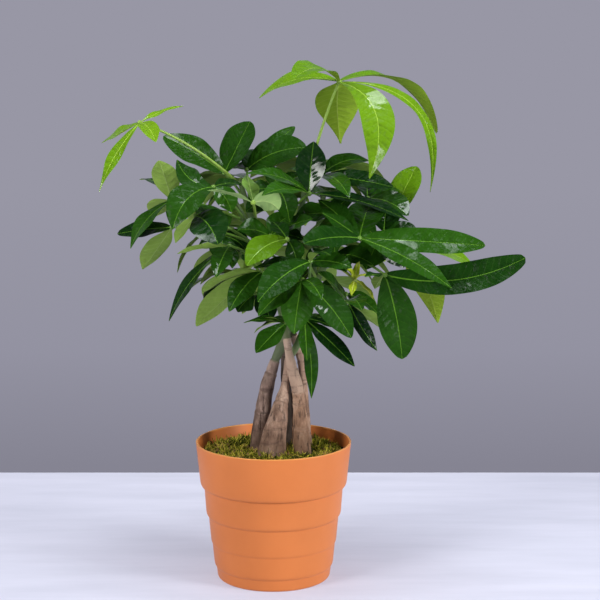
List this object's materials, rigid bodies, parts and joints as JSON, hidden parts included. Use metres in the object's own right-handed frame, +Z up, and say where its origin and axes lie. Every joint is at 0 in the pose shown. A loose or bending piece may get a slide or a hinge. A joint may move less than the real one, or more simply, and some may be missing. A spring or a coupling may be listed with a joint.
{
  "type": "potted money tree",
  "caption": "Small braided-trunk money tree with glossy palmate leaves and moss, in a stepped round plastic pot.",
  "frame": {"origin": "middle of the pot's flat underside", "axes": "+Z up; -Y towards the viewer of the picture; +X to the picture's right, where the longest leaflet reaches"},
  "size_m": [0.3671, 0.2593, 0.4679],
  "materials": {
    "pot": "satin",
    "soil": "rough",
    "moss": "rough",
    "bark": "rough",
    "shoot": "satin",
    "leaf_mature": "satin",
    "leaf_fresh": "glossy",
    "leaf_young": "satin",
    "leaf_bud": "satin"
  },
  "bodies": {
    "root": {"leaf_01": "leaf_mature", "leaf_02": "leaf_mature", "leaf_03": "leaf_young", "leaf_04": "leaf_mature", "leaf_05": "leaf_mature", "leaf_06": "leaf_mature", "leaf_07": "leaf_mature", "leaf_08": "leaf_young", "leaf_09": "leaf_fresh", "leaf_10": "leaf_mature", "leaf_11": "leaf_mature", "leaf_12": "leaf_mature", "leaf_13": "leaf_mature", "leaf_14": "leaf_mature", "leaf_15": "leaf_mature", "leaf_16": "leaf_mature", "leaf_17": "leaf_bud", "leaf_18": "leaf_young", "leaf_19": "leaf_mature", "leaf_20": "leaf_mature", "leaf_21": "leaf_mature", "leaf_22": "leaf_mature", "leaf_23": "leaf_young", "leaf_24": "leaf_young", "leaf_25": "leaf_mature", "leaf_26": "leaf_mature", "leaf_27": "leaf_mature", "leaf_28": "leaf_mature", "leaf_29": "leaf_mature", "leaf_30": "leaf_mature", "leaf_31": "leaf_mature", "leaf_32": "leaf_mature", "leaf_33": "leaf_mature", "leaf_34": "leaf_mature", "leaf_35": "leaf_mature", "leaf_36": "leaf_mature", "leaf_37": "leaf_mature", "leaf_38": "leaf_mature", "leaf_39": "leaf_mature", "leaf_40": "leaf_mature", "leaf_41": "leaf_mature", "leaf_42": "leaf_mature", "moss": "moss", "pot": "pot", "shoot_1": "shoot", "shoot_2": "shoot", "shoot_3": "shoot", "shoot_4": "shoot", "shoot_5": "shoot", "soil": "soil", "trunk_1": "bark", "trunk_2": "bark", "trunk_3": "bark", "trunk_4": "bark", "trunk_5": "bark"}
  },
  "joints": []
}
